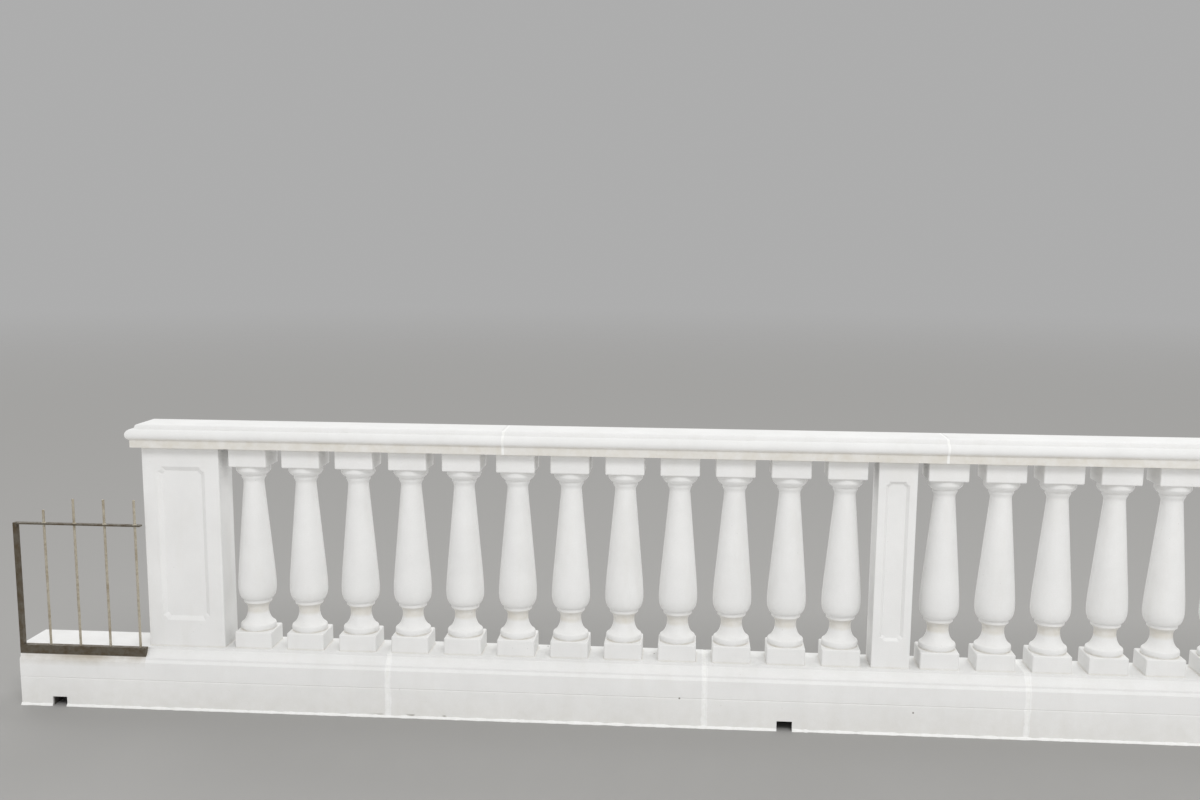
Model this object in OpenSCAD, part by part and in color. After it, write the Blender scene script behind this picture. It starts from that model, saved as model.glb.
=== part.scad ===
// Stone balustrade: two bays of turned cast-stone balusters between panelled piers, on a
// moulded base course and under a round-nosed rail. The base runs on past the left pier to
// the house wall, with a low steel infill standing on it. Millimetres, Z up, X along the run.
// The show side faces -Y, and the origin is the middle of the footprint, on the ground.

/* [Run] */
// Distance from one baluster's centre to the next
baluster_pitch = 171; // [150:1:200]
// Balusters in each of the two bays
balusters_per_bay = 12; // [6:1:14]
// Clear gap between a baluster's cap and the pier beside it
pier_gap = 32; // [15:1:50]
// Base course from the house wall to the left pier
stub_l = 422; // [400:1:500]

/* [Heights] */
// Height of the base course above the ground
base_h = 200; // [160:1:260]
// Height of the balusters and piers
baluster_h = 655; // [600:1:720]
// Height of the rail
rail_h = 72; // [64:1:90]

/* [Piers] */
// Width of the pier at each end
end_pier_w = 250; // [200:1:320]
// Width of the pier between the bays
mid_pier_w = 118; // [100:1:160]
// Depth of every pier, front to back
pier_d = 120; // [100:1:140]
// Pier face below a panel
panel_low = 87; // [60:1:120]
// Pier face above a panel
panel_high = 63; // [50:1:100]
// Pier face beside an end pier's panel
end_panel_side = 47; // [30:1:70]
// Pier face beside the middle pier's panel
mid_panel_side = 25; // [20:1:35]
// Depth of the sunk panels
panel_depth = 6; // [3:0.5:10]
// Width of the bevel round an end pier's panel
end_panel_bevel = 14; // [8:1:20]
// Width of the bevel round the middle pier's panel
mid_panel_bevel = 9; // [6:1:12]
// Cut across each corner of a panel, along its side
panel_corner = 20; // [8:1:24]

/* [Baluster] */
// Width of the square foot block
foot_w = 120; // [100:1:130]
// Height of the square foot block
foot_h = 54; // [40:1:60]
// Width of the square cap
cap_w = 122; // [100:1:132]
// Height of the square cap
cap_h = 61; // [50:1:70]
// Radius of the round disc on the foot block
disc_r = 57; // [50:0.5:60]
// Height of the round disc on the foot block
disc_h = 20; // [12:1:24]
// Radius of the waist above the disc
waist_r = 33.2; // [28:0.1:38]
// Radius of the belly at its widest
belly_r = 61; // [52:0.1:62]
// Radius of the neck below the top mouldings
neck_r = 32.7; // [26:0.1:36]
// Radius of the round disc under the cap
collar_r = 55; // [48:0.5:60]

/* [Base course] */
// Depth of the base course, front to back
base_d = 210; // [190:1:250]
// Depth of the flat top of the base course
plateau_d = 150; // [140:1:160]
// Length of the first base block, from the house wall
first_block_l = 1215; // [1100:1:1300]
// Length of the second base block, joint to joint
second_block_l = 1007; // [900:1:1100]
// Length of the base blocks after it
block_l = 993; // [900:1:1100]
// Width of the mortar joints between base blocks
base_joint_w = 10; // [5:1:14]
// Height of the line scored along the face, above the ground
score_z = 95; // [60:1:130]
// Depth of the scored line
score_depth = 2; // [1:0.5:4]
// Height of the mortar bead along the foot
bead_h = 9; // [6:1:14]
// Depth of the mortar bead along the foot
bead_d = 8; // [5:1:12]

/* [Drain slots] */
// Width of a drain slot
slot_w = 48; // [30:1:70]
// Height of a drain slot
slot_h = 31; // [20:1:50]
// Start of the first slot, from the house wall
first_slot_x = 105; // [60:1:200]
// Distance from one slot to the next
slot_spacing = 2344; // [2300:1:2380]
// Number of slots
slot_count = 3; // [1:1:3]

/* [Rail] */
// Depth of the rail across its round noses
rail_d = 194; // [180:1:230]
// Radius of the round nose
nose_r = 18; // [14:1:20]
// Depth of the flat top of the rail
rail_top_d = 146; // [130:1:150]
// Drop from the flat top to the round nose
rail_step = 13; // [8:1:18]
// Depth of the plain band under the nose
band_d = 172; // [165:1:180]
// Length of the first rail stone
first_rail_l = 1200; // [1000:1:1300]
// Length of the rail stones after it
rail_l = 1355; // [1250:1:1400]
// Width of the joints between rail stones
rail_joint_w = 8; // [4:1:12]

/* [Steel infill] */
// Depth of the flat bars, front to back
bar_d = 20; // [15:1:24]
// Distance from the face of the base course in to the front of the bars
bar_inset = 10; // [0:1:20]
// Width of the wall post
post_w = 12; // [8:1:20]
// Height of the wall post above the base course
post_h = 405; // [300:1:450]
// Thickness of the top bar
top_bar_t = 5; // [3:1:8]
// Diameter of the rods
rod_d = 8; // [6:1:12]
// Distance from one rod to the next
rod_pitch = 100; // [80:1:100]
// Height of the first rod above the base course
first_rod_h = 447; // [420:1:500]
// Height of the other rods above the base course
rod_h = 485; // [440:1:520]
// Height of the bottom rail
bottom_rail_h = 28; // [20:1:34]
// Gap between the infill and the left pier
infill_gap = 2; // [1:1:10]

/* [Detail] */
// Segments in a full turn of the baluster
turn_segments = 64; // [32:8:128]
// Steps along each moulded curve
curve_steps = 7; // [4:1:12]

/* [Hidden] */

baluster_count = 2 * balusters_per_bay;
row_w = (balusters_per_bay - 1) * baluster_pitch + cap_w;
left_pier_x = stub_l;
first_row_x = left_pier_x + end_pier_w + pier_gap;
mid_pier_x = first_row_x + row_w + pier_gap;
second_row_x = mid_pier_x + mid_pier_w + pier_gap;
right_pier_x = second_row_x + row_w + pier_gap;
right_pier_end = right_pier_x + end_pier_w;

base_l = right_pier_end + (base_d - pier_d) / 2;
run_l = base_l + bead_d;
rail_start = left_pier_x - (rail_d - pier_d) / 2;
rail_end = right_pier_end + (rail_d - pier_d) / 2;
rail_z = base_h + baluster_h;
total_h = rail_z + rail_h;

base_joint_x = concat(
    [first_block_l],
    [for (i = [0 : 2]) first_block_l + second_block_l + i * block_l]);
rail_joint_x = [for (i = [0 : 2]) rail_start + first_rail_l + i * rail_l];
slot_x = [for (i = [0 : slot_count - 1]) first_slot_x + i * slot_spacing];

// Base mouldings, each measured down from the flat top
top_fillet = 8;
top_ledge = 2;
hollow_low = 31;
hollow_rise = 3;
low_fillet = 38;
splay = 8;
hollow_out = base_d / 2 - splay;
splay_low = low_fillet + splay;

// Middle of the mortar bead's sloping face, as shares of its depth and height
bead_mid_out = 0.33;
bead_mid_up = 0.6;

// A bevel makes a corner cut at 45 degrees shorter by this share of its width
corner_loss = 2 - sqrt(2);

// Rail mouldings
rail_edge = 7;
rail_step_out = 2;
nose_in = rail_d / 2 - nose_r;
nose_end = -acos((band_d / 2 - nose_in) / nose_r);

// Heights of the baluster's lower members above its foot block
waist_up = 66;
flare_up = 89;
fillet_up = 101;
belly_up = 141;

// Depths of its upper members below its top
neck_down = 116;
neck_top_down = 99;
ovolo_low_down = 91.5;
ovolo_top_down = 77;

// Straight stretches beside the waist, belly and neck, and how far off each curve aims
straight = 2;
flare_aim = 8;
belly_aim = 27;
cone_aim = 3;
neck_aim = 8;

// Baluster levels above its foot, and the radius at each
disc_draw = 2;
disc_foot_r = disc_r - disc_draw;
disc_wide_z = foot_h + disc_h * 0.4;
disc_turn = 5;
disc_top_z = foot_h + disc_h;
disc_turn_z = disc_top_z - disc_turn;
disc_aim = 1;
disc_round = 3.5;
disc_top_r = disc_r - disc_round;
scotia_z = foot_h + waist_up;
scotia_from = 245;
scotia_a = (disc_top_r - waist_r) / (1 + cos(scotia_from));
scotia_b = (disc_top_z - scotia_z) / sin(scotia_from);
waist_top = scotia_z + straight;
flare_top = foot_h + flare_up;
flare_low = flare_top - flare_aim;
flare_r = 43;
fillet_top = foot_h + fillet_up;
fillet_r = 45.5;
belly_z = foot_h + belly_up;
belly_high = belly_z + straight;
belly_turn = belly_z + belly_aim;
shoulder_z = 289;
shoulder_r = 54.7;
cone_top = 520;
cone_top_r = 34.1;
neck_z = baluster_h - neck_down;
neck_low = neck_z - cone_aim;
neck_high = neck_z + straight;
neck_turn = neck_z + neck_aim;
neck_top = baluster_h - neck_top_down;
neck_top_r = 38.6;
ovolo_ledge = 1;
ovolo_in = neck_top_r + ovolo_ledge;
ovolo_low = baluster_h - ovolo_low_down;
ovolo_top = baluster_h - ovolo_top_down;
ovolo_rise = 1.5;

eps = 1;
stone = [0.91, 0.905, 0.885];
mortar = [0.965, 0.96, 0.95];
steel = [0.42, 0.39, 0.36];

function numbered(name, i) = str(name, i < 10 ? "0" : "", i);
function baluster_x(i) = i < balusters_per_bay
    ? first_row_x + cap_w / 2 + i * baluster_pitch
    : second_row_x + cap_w / 2 + (i - balusters_per_bay) * baluster_pitch;

// Shallow curve from a to b that rises to the left of the way
function curve(a, b, rise) = let (way = b - a, side = [-way[1], way[0]] / norm(way))
    [for (i = [0 : curve_steps]) let (t = i / curve_steps)
        a + way * t + side * 4 * rise * t * (1 - t)];

// Curve from a to c that starts and ends towards b
function bend(a, b, c) = [for (i = [0 : curve_steps]) let (t = i / curve_steps)
    a * (1 - t) * (1 - t) + b * 2 * t * (1 - t) + c * t * t];

// Stretch of an ellipse about c
function oval(c, a, b, from, to) = [for (i = [0 : curve_steps])
    let (w = from + (to - from) * i / curve_steps) c + [a * cos(w), b * sin(w)]];

// One side of the base course, from the ground up to the flat top
base_side = concat(
    [
        [base_d / 2, 0],
        [base_d / 2, score_z - score_depth],
        [base_d / 2 - score_depth, score_z],
        [base_d / 2, score_z + score_depth],
        [base_d / 2, base_h - splay_low],
        [hollow_out, base_h - low_fillet]
    ],
    curve([hollow_out, base_h - hollow_low],
        [plateau_d / 2 + top_ledge, base_h - top_fillet], hollow_rise),
    [
        [plateau_d / 2, base_h - top_fillet],
        [plateau_d / 2, base_h]
    ]);

// One side of the rail, from its underside up to the flat top
rail_side = concat(
    [[band_d / 2, rail_z]],
    oval([nose_in, total_h - rail_step - nose_r], nose_r, nose_r, nose_end, 90),
    [[rail_top_d / 2 + rail_step_out, total_h - rail_step]],
    oval([rail_top_d / 2 - rail_edge, total_h - rail_edge], rail_edge, rail_edge, 0, 90));

// Turned outline of a baluster, radius against height above its foot
baluster_outline = concat(
    [
        [0, foot_h],
        [disc_foot_r, foot_h],
        [disc_r, disc_wide_z]
    ],
    bend([disc_r, disc_turn_z], [disc_r, disc_top_z - disc_aim], [disc_top_r, disc_top_z]),
    oval([waist_r + scotia_a, scotia_z], scotia_a, scotia_b, scotia_from, 180),
    bend([waist_r, waist_top], [waist_r, flare_low], [flare_r, flare_top]),
    oval([fillet_r, belly_z], belly_r - fillet_r, belly_z - fillet_top, -90, 0),
    bend([belly_r, belly_high], [belly_r, belly_turn], [shoulder_r, shoulder_z]),
    bend([cone_top_r, cone_top], [neck_r, neck_low], [neck_r, neck_z]),
    bend([neck_r, neck_high], [neck_r, neck_turn], [neck_top_r, neck_top]),
    [[neck_top_r, ovolo_low]],
    curve([ovolo_in, ovolo_low], [collar_r, ovolo_top], -ovolo_rise),
    [
        [collar_r, baluster_h - cap_h],
        [0, baluster_h - cap_h]
    ]);

function mirrored(side) = concat(side,
    [for (i = [len(side) - 1 : -1 : 0]) [-side[i][0], side[i][1]]]);

// Closed outline along a run whose left end is cut square and whose right end is returned
function right_returned(side, from, middle) = concat(
    [for (p = side) [middle + p[0], p[1]]],
    [[from, side[len(side) - 1][1]], [from, side[0][1]]]);

// Everything is drawn from the house wall, then centred on the footprint
module placed() {
    translate([-run_l / 2, 0, 0]) children();
}

// Outline across the run, drawn along X between two places
module along_x(from, to) {
    translate([from, 0, 0])
        rotate([90, 0, 90])
            linear_extrude(height = to - from) children();
}

// Outline along the run, drawn through the whole depth
module along_y(depth) {
    translate([0, depth / 2, 0])
        rotate([90, 0, 0])
            linear_extrude(height = depth) children();
}

module base_section() {
    polygon(mirrored(base_side));
}

module rail_section() {
    polygon(mirrored(rail_side));
}

module slot_cuts(depth) {
    for (x = slot_x)
        translate([x, -depth / 2, -eps])
            cube([slot_w, depth, slot_h + eps]);
}

// Base course from one place to another; only the right end is returned
module base_part(from, to) {
    if (to < base_l) {
        along_x(from, to) base_section();
    } else {
        intersection() {
            along_x(from, to) base_section();
            along_y(base_d)
                polygon(right_returned(base_side, from, base_l - base_d / 2));
        }
    }
}

module base_block(i) {
    from = i == 0 ? 0 : base_joint_x[i - 1] + base_joint_w / 2;
    to = i < len(base_joint_x) ? base_joint_x[i] - base_joint_w / 2 : base_l;
    color(stone)
        placed()
            difference() {
                base_part(from, to);
                slot_cuts(base_d + 2 * eps);
            }
}

module base_joints() {
    color(mortar)
        placed()
            for (x = base_joint_x)
                along_x(x - base_joint_w / 2, x + base_joint_w / 2) base_section();
}

// Mortar bead along the front, round the right end and along the back, open at the slots
module foot_bead() {
    bead_side = [
        [base_d / 2 + bead_d, 0],
        [base_d / 2 + bead_d * bead_mid_out, bead_h * bead_mid_up],
        [base_d / 2, bead_h]
    ];
    color(mortar)
        placed()
            difference() {
                intersection() {
                    along_x(0, run_l) polygon(mirrored(bead_side));
                    along_y(base_d + 2 * bead_d)
                        polygon(right_returned(bead_side, 0, base_l - base_d / 2));
                }
                translate([-eps, -base_d / 2, -eps])
                    cube([base_l + eps, base_d, bead_h + 2 * eps]);
                slot_cuts(base_d + 4 * bead_d);
            }
}

module baluster(i) {
    color(stone)
        placed()
            translate([baluster_x(i), 0, base_h]) {
                translate([-foot_w / 2, -foot_w / 2, 0])
                    cube([foot_w, foot_w, foot_h]);
                rotate_extrude($fn = turn_segments) polygon(baluster_outline);
                translate([-cap_w / 2, -cap_w / 2, baluster_h - cap_h])
                    cube([cap_w, cap_w, cap_h]);
            }
}

// Panel outline with its corners cut across, w wide and h high, about the middle of its foot
module panel_outline(w, h, corner) {
    polygon([
        [-w / 2 + corner, 0], [w / 2 - corner, 0], [w / 2, corner], [w / 2, h - corner],
        [w / 2 - corner, h], [-w / 2 + corner, h], [-w / 2, h - corner], [-w / 2, corner]
    ]);
}

// Sunk panel with a bevelled border, cut into a face that looks towards -Y
module panel_cut(w, h, bevel) {
    skin = 0.1;
    hull() {
        rotate([90, 0, 0])
            linear_extrude(height = skin) panel_outline(w, h, panel_corner);
        translate([0, panel_depth, bevel])
            rotate([90, 0, 0])
                linear_extrude(height = skin)
                    panel_outline(w - 2 * bevel, h - 2 * bevel, panel_corner - bevel * corner_loss);
    }
}

module pier(x, w, side, bevel) {
    color(stone)
        placed()
            translate([x + w / 2, 0, base_h])
                difference() {
                    translate([-w / 2, -pier_d / 2, 0])
                        cube([w, pier_d, baluster_h]);
                    for (turn = [0, 180])
                        rotate([0, 0, turn])
                            translate([0, -pier_d / 2, panel_low])
                                panel_cut(w - 2 * side, baluster_h - panel_low - panel_high, bevel);
                }
}

// Rail from one place to another; both ends of the whole rail are returned
module rail_part(from, to) {
    intersection() {
        along_x(from, to) rail_section();
        if (from <= rail_start || to >= rail_end)
            along_y(rail_d)
                polygon(concat(
                    [for (p = rail_side) [rail_end - rail_d / 2 + p[0], p[1]]],
                    [for (i = [len(rail_side) - 1 : -1 : 0])
                        [rail_start + rail_d / 2 - rail_side[i][0], rail_side[i][1]]]));
        else
            along_x(from, to) rail_section();
    }
}

module rail_block(i) {
    from = i == 0 ? rail_start : rail_joint_x[i - 1] + rail_joint_w / 2;
    to = i < len(rail_joint_x) ? rail_joint_x[i] - rail_joint_w / 2 : rail_end;
    color(stone)
        placed()
            rail_part(from, to);
}

module rail_joints() {
    color(mortar)
        placed()
            for (x = rail_joint_x)
                along_x(x - rail_joint_w / 2, x + rail_joint_w / 2) rail_section();
}

// The infill stands over the front moulding of the base course
infill_y = bar_inset - base_d / 2;
infill_l = stub_l - infill_gap;
top_bar_z = base_h + post_h - top_bar_t;
rod_x = [for (i = [1 : 4]) i * rod_pitch];

module infill_post() {
    color(steel)
        placed()
            translate([0, infill_y, base_h])
                cube([post_w, bar_d, post_h]);
}

module infill_top_bar() {
    color(steel)
        placed()
            difference() {
                translate([post_w, infill_y, top_bar_z])
                    cube([infill_l - post_w, bar_d, top_bar_t]);
                for (x = rod_x)
                    translate([x, infill_y + bar_d / 2, top_bar_z - eps])
                        cylinder(h = top_bar_t + 2 * eps, d = rod_d, $fn = turn_segments);
            }
}

module infill_bottom_rail() {
    color(steel)
        placed()
            difference() {
                translate([0, infill_y, base_h - bottom_rail_h])
                    cube([infill_l, bar_d, bottom_rail_h]);
                along_x(-eps, stub_l) base_section();
            }
}

module infill_rods() {
    color(steel)
        placed()
            for (i = [0 : len(rod_x) - 1])
                translate([rod_x[i], infill_y + bar_d / 2, base_h])
                    cylinder(h = i == 0 ? first_rod_h : rod_h, d = rod_d, $fn = turn_segments);
}

for (i = [1 : baluster_count])
    baluster(i - 1);
pier(left_pier_x, end_pier_w, end_panel_side, end_panel_bevel);  // end_pier_left
pier(mid_pier_x, mid_pier_w, mid_panel_side, mid_panel_bevel);  // mid_pier
pier(right_pier_x, end_pier_w, end_panel_side, end_panel_bevel);  // end_pier_right
for (i = [1 : len(base_joint_x) + 1])
    base_block(i - 1);
for (i = [1 : len(rail_joint_x) + 1])
    rail_block(i - 1);
base_joints();
rail_joints();
foot_bead();
infill_post();
infill_top_bar();
infill_bottom_rail();
infill_rods();
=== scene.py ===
"""The looks of a white cast-stone balustrade: turned balusters between panelled piers, on a
moulded base course and under a round-nosed rail, with a low steel grille at the left end."""
import math
import random

import bmesh
import bpy
from mathutils import Matrix, Vector, noise


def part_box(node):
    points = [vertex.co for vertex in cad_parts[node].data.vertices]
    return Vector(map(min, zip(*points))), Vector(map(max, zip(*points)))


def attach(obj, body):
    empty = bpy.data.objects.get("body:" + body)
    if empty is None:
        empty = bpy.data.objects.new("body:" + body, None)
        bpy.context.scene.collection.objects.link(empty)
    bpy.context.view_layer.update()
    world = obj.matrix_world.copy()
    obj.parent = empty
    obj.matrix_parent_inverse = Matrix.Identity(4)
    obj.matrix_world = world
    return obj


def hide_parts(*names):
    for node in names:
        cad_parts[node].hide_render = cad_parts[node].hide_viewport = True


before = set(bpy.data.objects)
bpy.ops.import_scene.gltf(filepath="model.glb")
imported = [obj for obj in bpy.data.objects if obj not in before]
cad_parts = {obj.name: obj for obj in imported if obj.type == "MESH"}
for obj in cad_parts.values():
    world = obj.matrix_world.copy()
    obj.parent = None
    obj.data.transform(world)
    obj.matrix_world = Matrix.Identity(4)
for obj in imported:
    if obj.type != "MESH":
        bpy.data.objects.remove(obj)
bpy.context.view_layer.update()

MM = 0.001
# Least turn of an edge that is drawn as an edge, and of a moulding's edge that is rounded
SHARP = math.radians(32)
MOULDING_SHARP = math.radians(25)
# Points closer than this count as one
MERGE = 0.01 * MM

BASE_BLOCKS, RAIL_BLOCKS, BALUSTERS = 5, 4, 24

# How far the middle of the rail's nose lies below its flat top
NOSE_DOWN = 31 * MM

# Places from the frame
BASE_LOW, BASE_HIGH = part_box("base_block_1")
BASE_TOP = BASE_HIGH[2]
BASE_OUT = BASE_HIGH[1]
BASE_START = BASE_LOW[0]
BASE_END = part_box("base_block_5")[1][0]
RAIL_LOW, RAIL_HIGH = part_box("rail_block_1")
RAIL_FOOT, RAIL_TOP = RAIL_LOW[2], RAIL_HIGH[2]
RAIL_OUT = RAIL_HIGH[1]
NOSE_Z = RAIL_TOP - NOSE_DOWN
RAIL_START = RAIL_LOW[0]
RAIL_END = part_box("rail_block_4")[1][0]
BEAD_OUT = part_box("foot_bead")[1][1]
BEAD_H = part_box("foot_bead")[1][2]
BALUSTER_H = RAIL_FOOT - BASE_TOP
STEEL_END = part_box("infill_bottom_rail")[1][0]

# Middles of the joints between base stones
BASE_JOINTS = [(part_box(f"base_block_{i}")[1][0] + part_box(f"base_block_{i + 1}")[0][0]) / 2
               for i in range(1, BASE_BLOCKS)]

# Half depth of the base course's flat top
FLAT_OUT = 75 * MM

# Drain slots: start of the first from the left end, step, width, height and number
SLOT_FIRST = 105 * MM
SLOT_STEP = 2344 * MM
SLOT_W = 48 * MM
SLOT_H = 31 * MM
SLOTS = 3
SLOT_X = [BASE_START + SLOT_FIRST + i * SLOT_STEP for i in range(SLOTS)]

# Stretch of the foot that holds grit: its middle, its reach either way, and the length at each
# end over which it thins out
GRIT_X, GRIT_REACH, GRIT_FADE = -1240 * MM, 220 * MM, 60 * MM

# Depths below the flat top between which the rusty run, with the painted shadow of the steel rail,
# thins out
RUST_AND_SHADOW_FROM, RUST_AND_SHADOW_TO = 34 * MM, 65 * MM

# Rounding of the mouldings' edges
ARRIS = 2 * MM

# Colour of old dirt and painted shade, the same in hollows and in sheltered bands
OLD_DIRT_AND_SHADE = "C0B59B"


# Colours and nodes

def linear(code):
    """An sRGB hex value as linear red, green, blue and alpha."""
    channels = [int(code[i:i + 2], 16) / 255 for i in (0, 2, 4)]
    return (*(c / 12.92 if c <= 0.04045 else ((c + 0.055) / 1.055) ** 2.4 for c in channels), 1.0)


def add(tree, kind, inputs=None, **settings):
    """Adds a node with its settings. inputs holds values, or nodes or outputs to link, by the
    input's name or number; a node stands for its first output in use."""
    node = tree.nodes.new("ShaderNode" + kind)
    for name, value in settings.items():
        setattr(node, name, value)
    for key, value in (inputs or {}).items():
        named = [s for s in node.inputs if s.enabled and s.name == key]
        socket = named[0] if named else node.inputs[key]
        if isinstance(value, bpy.types.Node):
            value = next(s for s in value.outputs if s.enabled)
        if isinstance(value, bpy.types.NodeSocket):
            tree.links.new(value, socket)
        else:
            socket.default_value = value
    return node


def new_material(name):
    """An empty material, its node tree and its object coordinates."""
    made = bpy.data.materials.new(name)
    made.use_nodes = True
    tree = made.node_tree
    tree.nodes.clear()
    return made, tree, add(tree, "TexCoord").outputs["Object"]


def cast_stone(name, dirt_and_shade_bands=(), at_foot=False):
    """White cast stone, out of a smooth mould: dense, matt and almost even in colour, with fine
    sand, a few air pores, and thin yellowish dirt with painted shade where rain and light don't
    reach: in the hollows, and in bands whose middle height and half width dirt_and_shade_bands
    holds. Stones at the foot are a little splashed and specked low down, and have mortar rubbed
    over their edges at each joint."""
    made, tree, where = new_material(name)

    # Faint clouds, and sand grains of 1 mm drawn at 3 mm so that they show
    clouds = add(tree, "TexNoise", {"Vector": where, "Scale": 1 / (140 * MM), "Detail": 4.0,
                                    "Roughness": 0.6})
    cloudy = add(tree, "MapRange", {"Value": clouds, "From Min": 0.32, "From Max": 0.68})
    colour = add(tree, "Mix", {"Factor": cloudy, "A": linear("E9E9E8"), "B": linear("E3E3E2")},
                 data_type="RGBA")
    sand = add(tree, "TexNoise", {"Vector": where, "Scale": 1 / (3 * MM), "Detail": 2.0,
                                  "Roughness": 0.7})
    sandy = add(tree, "MapRange", {"Value": sand, "From Min": 0.35, "From Max": 0.75,
                                   "To Max": 0.2})
    colour = add(tree, "Mix", {"Factor": sandy, "A": colour, "B": linear("D2D0CB")},
                 data_type="RGBA")

    # Veils of dirt left by rain, 60 mm wide and 250 mm long
    stretched = add(tree, "Mapping", {"Vector": where,
                                      "Scale": (1 / (60 * MM), 1 / (60 * MM), 1 / (250 * MM))})
    veils = add(tree, "TexNoise", {"Vector": stretched, "Scale": 1.0, "Detail": 5.0,
                                   "Roughness": 0.6})
    veiled = add(tree, "MapRange", {"Value": veils, "From Min": 0.5, "From Max": 0.75,
                                    "To Max": 0.22})
    colour = add(tree, "Mix", {"Factor": veiled, "A": colour, "B": linear("D5D3CD")},
                 data_type="RGBA")

    # Air pores of 1 to 2 mm, in patches
    cells = add(tree, "TexVoronoi", {"Vector": where, "Scale": 1 / (26 * MM)})
    holes = add(tree, "MapRange", {"Value": cells.outputs["Distance"], "From Min": 0.03,
                                   "From Max": 0.055, "To Min": 1.0, "To Max": 0.0})
    patches = add(tree, "TexNoise", {"Vector": where, "Scale": 1 / (90 * MM)})
    patchy = add(tree, "MapRange", {"Value": patches, "From Min": 0.52, "From Max": 0.64})
    pores = add(tree, "Math", {0: holes, 1: patchy}, operation="MULTIPLY")
    pored = add(tree, "Math", {0: pores, 1: 0.5}, operation="MULTIPLY")
    colour = add(tree, "Mix", {"Factor": pored, "A": colour, "B": linear("8C877B")},
                 data_type="RGBA")

    # Dirt and painted shade in the hollows and where stones meet, darker where ambient occlusion is
    # deeper
    occlusion = add(tree, "AmbientOcclusion", {"Distance": 15 * MM}, samples=8)
    hollow_shade = add(tree, "MapRange", {"Value": occlusion.outputs["AO"], "From Min": 0.2,
                                    "From Max": 0.75, "To Min": 0.6, "To Max": 0.0})
    lumps = add(tree, "TexNoise", {"Vector": where, "Scale": 1 / (35 * MM), "Detail": 3.0,
                                   "Roughness": 0.65})
    uneven = add(tree, "MapRange", {"Value": lumps, "From Min": 0.3, "From Max": 0.7,
                                    "To Min": 0.4})
    # dirt holds the painted shade of the hollows together with their dirt
    dirt = add(tree, "Math", {0: hollow_shade, 1: uneven}, operation="MULTIPLY")
    colour = add(tree, "Mix", {"Factor": dirt, "A": colour, "B": linear(OLD_DIRT_AND_SHADE)},
                 data_type="RGBA")

    # The same dirt and painted shade in the sheltered bands, under overhangs
    along = add(tree, "SeparateXYZ", {"Vector": where})
    for middle, half in dirt_and_shade_bands:
        from_band = add(tree, "Math", {0: along.outputs["Z"], 1: middle}, operation="SUBTRACT")
        from_band = add(tree, "Math", {0: from_band}, operation="ABSOLUTE")
        band = add(tree, "MapRange", {"Value": from_band, "From Min": half - 5 * MM,
                                      "From Max": half + 5 * MM, "To Min": 0.4, "To Max": 0.0})
        band_dirt_and_shade = add(tree, "Math", {0: band, 1: uneven}, operation="MULTIPLY")
        colour = add(tree, "Mix", {"Factor": band_dirt_and_shade, "A": colour, "B": linear(OLD_DIRT_AND_SHADE)},
                     data_type="RGBA")

    if at_foot:
        # Splashed dirt that thins out over 120 mm
        splash = add(tree, "MapRange", {"Value": along.outputs["Z"], "From Max": 120 * MM,
                                        "To Min": 0.3, "To Max": 0.0})
        splashed = add(tree, "Math", {0: splash, 1: uneven}, operation="MULTIPLY")
        colour = add(tree, "Mix", {"Factor": splashed, "A": colour, "B": linear("CCC8BC")},
                     data_type="RGBA")

        # A few dark specks of 4 to 8 mm
        spots = add(tree, "TexVoronoi", {"Vector": where, "Scale": 1 / (90 * MM)})
        round_spots = add(tree, "MapRange", {"Value": spots.outputs["Distance"], "From Min": 0.02,
                                             "From Max": 0.045, "To Min": 0.85, "To Max": 0.0})
        chosen = add(tree, "SeparateColor", {"Color": spots.outputs["Color"]})
        few = add(tree, "Math", {0: chosen.outputs[0], 1: 0.6}, operation="GREATER_THAN")
        specks = add(tree, "Math", {0: round_spots, 1: few}, operation="MULTIPLY")
        colour = add(tree, "Mix", {"Factor": specks, "A": colour, "B": linear("5A5245")},
                     data_type="RGBA")

        # Grit caught above the mortar bead, in dashes of 20 to 60 mm on one stretch
        dashes = add(tree, "TexNoise", {"Vector": where, "Scale": 1 / (70 * MM), "Detail": 2.0})
        dashed = add(tree, "MapRange", {"Value": dashes, "From Min": 0.52, "From Max": 0.58,
                                        "To Max": 0.5})
        from_grit = add(tree, "Math", {0: along.outputs["X"], 1: GRIT_X}, operation="SUBTRACT")
        from_grit = add(tree, "Math", {0: from_grit}, operation="ABSOLUTE")
        gritty = add(tree, "MapRange", {"Value": from_grit, "From Min": GRIT_REACH - GRIT_FADE,
                                        "From Max": GRIT_REACH, "To Min": 1.0, "To Max": 0.0})
        low = add(tree, "MapRange", {"Value": along.outputs["Z"], "From Min": BEAD_H + 2 * MM,
                                     "From Max": BEAD_H + 5 * MM, "To Min": 1.0, "To Max": 0.0})
        grit = add(tree, "Math", {0: dashed, 1: low}, operation="MULTIPLY")
        grit = add(tree, "Math", {0: grit, 1: gritty}, operation="MULTIPLY")
        colour = add(tree, "Mix", {"Factor": grit, "A": colour, "B": linear("6A6253")},
                     data_type="RGBA")

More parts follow.
